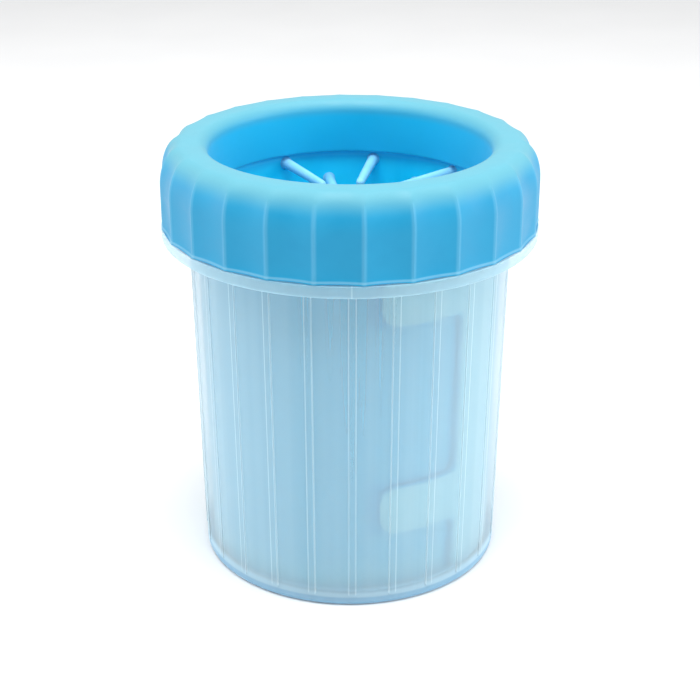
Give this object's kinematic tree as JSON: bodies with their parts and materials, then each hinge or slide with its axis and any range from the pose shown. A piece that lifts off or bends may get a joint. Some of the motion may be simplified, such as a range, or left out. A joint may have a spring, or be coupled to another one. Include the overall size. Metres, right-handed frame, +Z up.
{
  "type": "paw washer cup",
  "caption": "Ribbed translucent cup with a soft fluted cap ring and a rolled brush mat of inward bristles for washing a pet's paw.",
  "frame": {"origin": "on the cup's axis, in the plane of its foot ring", "axes": "+Z up along the cup's axis, -Y towards the front, where the mat's two tabs show, +X to the right seen from there"},
  "size_m": [0.094, 0.094, 0.11],
  "materials": {
    "cup": "frosted translucent polypropylene",
    "cap": "matt translucent silicone",
    "mat": "matt silicone",
    "bristles": "soft satin silicone"
  },
  "bodies": {
    "cup": {"cup_body": "cup"},
    "cap": {"cap_ring": "cap"},
    "brush": {"brush_mat": "mat"},
    "bristles_01": {"bristle_column_01": "bristles"},
    "bristles_02": {"bristle_column_02": "bristles"},
    "bristles_03": {"bristle_column_03": "bristles"},
    "bristles_04": {"bristle_column_04": "bristles"},
    "bristles_05": {"bristle_column_05": "bristles"},
    "bristles_06": {"bristle_column_06": "bristles"},
    "bristles_07": {"bristle_column_07": "bristles"},
    "bristles_08": {"bristle_column_08": "bristles"},
    "bristles_09": {"bristle_column_09": "bristles"},
    "bristles_10": {"bristle_column_10": "bristles"},
    "bristles_11": {"bristle_column_11": "bristles"},
    "bristles_12": {"bristle_column_12": "bristles"},
    "bristles_13": {"bristle_column_13": "bristles"},
    "bristles_14": {"bristle_column_14": "bristles"},
    "bristles_15": {"bristle_column_15": "bristles"},
    "bristles_16": {"bristle_column_16": "bristles"},
    "bristles_17": {"bristle_column_17": "bristles"},
    "bristles_18": {"bristle_column_18": "bristles"},
    "bristles_19": {"bristle_column_19": "bristles"}
  },
  "joints": [
    {"name": "cap_lift", "type": "slide", "parent": "cup", "child": "cap", "axis": [0, 0, 1], "range_m": [0, 0.21]},
    {"name": "brush_lift", "type": "slide", "parent": "cup", "child": "brush", "axis": [0, 0, 1], "range_m": [0, 0.105]},
    {"name": "bristle_sway_01", "type": "hinge", "parent": "brush", "child": "bristles_01", "pos_m": [0.03259, -0.00852, 0.0039], "axis": [0.0169, -0.0044, 0.9998], "range_deg": [-35, 35], "stiffness_Nm_per_rad": 0.001},
    {"name": "bristle_sway_02", "type": "hinge", "parent": "brush", "child": "bristles_02", "pos_m": [0.03359, 0.00252, 0.0039], "axis": [0.0174, 0.0013, 0.9998], "range_deg": [-35, 35], "stiffness_Nm_per_rad": 0.001},
    {"name": "bristle_sway_03", "type": "hinge", "parent": "brush", "child": "bristles_03", "pos_m": [0.03095, 0.01329, 0.0039], "axis": [0.016, 0.0069, 0.9998], "range_deg": [-35, 35], "stiffness_Nm_per_rad": 0.001},
    {"name": "bristle_sway_04", "type": "hinge", "parent": "brush", "child": "bristles_04", "pos_m": [0.02496, 0.02262, 0.0039], "axis": [0.0129, 0.0117, 0.9998], "range_deg": [-35, 35], "stiffness_Nm_per_rad": 0.001},
    {"name": "bristle_sway_05", "type": "hinge", "parent": "brush", "child": "bristles_05", "pos_m": [0.01626, 0.0295, 0.0039], "axis": [0.0084, 0.0153, 0.9998], "range_deg": [-35, 35], "stiffness_Nm_per_rad": 0.001},
    {"name": "bristle_sway_06", "type": "hinge", "parent": "brush", "child": "bristles_06", "pos_m": [0.0058, 0.03318, 0.0039], "axis": [0.003, 0.0172, 0.9998], "range_deg": [-35, 35], "stiffness_Nm_per_rad": 0.001},
    {"name": "bristle_sway_07", "type": "hinge", "parent": "brush", "child": "bristles_07", "pos_m": [-0.00529, 0.03326, 0.0039], "axis": [-0.0027, 0.0172, 0.9998], "range_deg": [-35, 35], "stiffness_Nm_per_rad": 0.001},
    {"name": "bristle_sway_08", "type": "hinge", "parent": "brush", "child": "bristles_08", "pos_m": [-0.0158, 0.02975, 0.0039], "axis": [-0.0082, 0.0154, 0.9998], "range_deg": [-35, 35], "stiffness_Nm_per_rad": 0.001},
    {"name": "bristle_sway_09", "type": "hinge", "parent": "brush", "child": "bristles_09", "pos_m": [-0.0246, 0.023, 0.0039], "axis": [-0.0127, 0.0119, 0.9998], "range_deg": [-35, 35], "stiffness_Nm_per_rad": 0.001},
    {"name": "bristle_sway_10", "type": "hinge", "parent": "brush", "child": "bristles_10", "pos_m": [-0.03074, 0.01377, 0.0039], "axis": [-0.0159, 0.0071, 0.9998], "range_deg": [-35, 35], "stiffness_Nm_per_rad": 0.001},
    {"name": "bristle_sway_11", "type": "hinge", "parent": "brush", "child": "bristles_11", "pos_m": [-0.03354, 0.00304, 0.0039], "axis": [-0.0174, 0.0016, 0.9998], "range_deg": [-35, 35], "stiffness_Nm_per_rad": 0.001},
    {"name": "bristle_sway_12", "type": "hinge", "parent": "brush", "child": "bristles_12", "pos_m": [-0.03271, -0.00802, 0.0039], "axis": [-0.0169, -0.0042, 0.9998], "range_deg": [-35, 35], "stiffness_Nm_per_rad": 0.001},
    {"name": "bristle_sway_13", "type": "hinge", "parent": "brush", "child": "bristles_13", "pos_m": [-0.02834, -0.01821, 0.0039], "axis": [-0.0147, -0.0094, 0.9998], "range_deg": [-35, 35], "stiffness_Nm_per_rad": 0.001},
    {"name": "bristle_sway_14", "type": "hinge", "parent": "brush", "child": "bristles_14", "pos_m": [-0.02089, -0.02642, 0.0039], "axis": [-0.0108, -0.0137, 0.9998], "range_deg": [-35, 35], "stiffness_Nm_per_rad": 0.001},
    {"name": "bristle_sway_15", "type": "hinge", "parent": "brush", "child": "bristles_15", "pos_m": [-0.01118, -0.03177, 0.0039], "axis": [-0.0058, -0.0164, 0.9998], "range_deg": [-35, 35], "stiffness_Nm_per_rad": 0.001},
    {"name": "bristle_sway_16", "type": "hinge", "parent": "brush", "child": "bristles_16", "pos_m": [-0.00025, -0.03213, 0.0039], "axis": [-0.0001, -0.0174, 0.9998], "range_deg": [-35, 35], "stiffness_Nm_per_rad": 0.001},
    {"name": "bristle_sway_17", "type": "hinge", "parent": "brush", "child": "bristles_17", "pos_m": [0.01012, -0.03023, 0.0039], "axis": [0.0055, -0.0165, 0.9998], "range_deg": [-35, 35], "stiffness_Nm_per_rad": 0.001},
    {"name": "bristle_sway_18", "type": "hinge", "parent": "brush", "child": "bristles_18", "pos_m": [0.01939, -0.02531, 0.0039], "axis": [0.0106, -0.0138, 0.9998], "range_deg": [-35, 35], "stiffness_Nm_per_rad": 0.001},
    {"name": "bristle_sway_19", "type": "hinge", "parent": "brush", "child": "bristles_19", "pos_m": [0.02656, -0.01764, 0.0039], "axis": [0.0145, -0.0096, 0.9998], "range_deg": [-35, 35], "stiffness_Nm_per_rad": 0.001}
  ],
  "couplings": [
    {"joint": "brush_lift", "follows": "cap_lift", "ratio": 0.5},
    {"joint": "bristle_sway_02", "follows": "bristle_sway_01", "ratio": 1},
    {"joint": "bristle_sway_03", "follows": "bristle_sway_01", "ratio": 1},
    {"joint": "bristle_sway_04", "follows": "bristle_sway_01", "ratio": 1},
    {"joint": "bristle_sway_05", "follows": "bristle_sway_01", "ratio": 1},
    {"joint": "bristle_sway_06", "follows": "bristle_sway_01", "ratio": 1},
    {"joint": "bristle_sway_07", "follows": "bristle_sway_01", "ratio": 1},
    {"joint": "bristle_sway_08", "follows": "bristle_sway_01", "ratio": 1},
    {"joint": "bristle_sway_09", "follows": "bristle_sway_01", "ratio": 1},
    {"joint": "bristle_sway_10", "follows": "bristle_sway_01", "ratio": 1},
    {"joint": "bristle_sway_11", "follows": "bristle_sway_01", "ratio": 1},
    {"joint": "bristle_sway_12", "follows": "bristle_sway_01", "ratio": 1},
    {"joint": "bristle_sway_13", "follows": "bristle_sway_01", "ratio": 1},
    {"joint": "bristle_sway_14", "follows": "bristle_sway_01", "ratio": 1},
    {"joint": "bristle_sway_15", "follows": "bristle_sway_01", "ratio": 1},
    {"joint": "bristle_sway_16", "follows": "bristle_sway_01", "ratio": 1},
    {"joint": "bristle_sway_17", "follows": "bristle_sway_01", "ratio": 1},
    {"joint": "bristle_sway_18", "follows": "bristle_sway_01", "ratio": 1},
    {"joint": "bristle_sway_19", "follows": "bristle_sway_01", "ratio": 1}
  ]
}
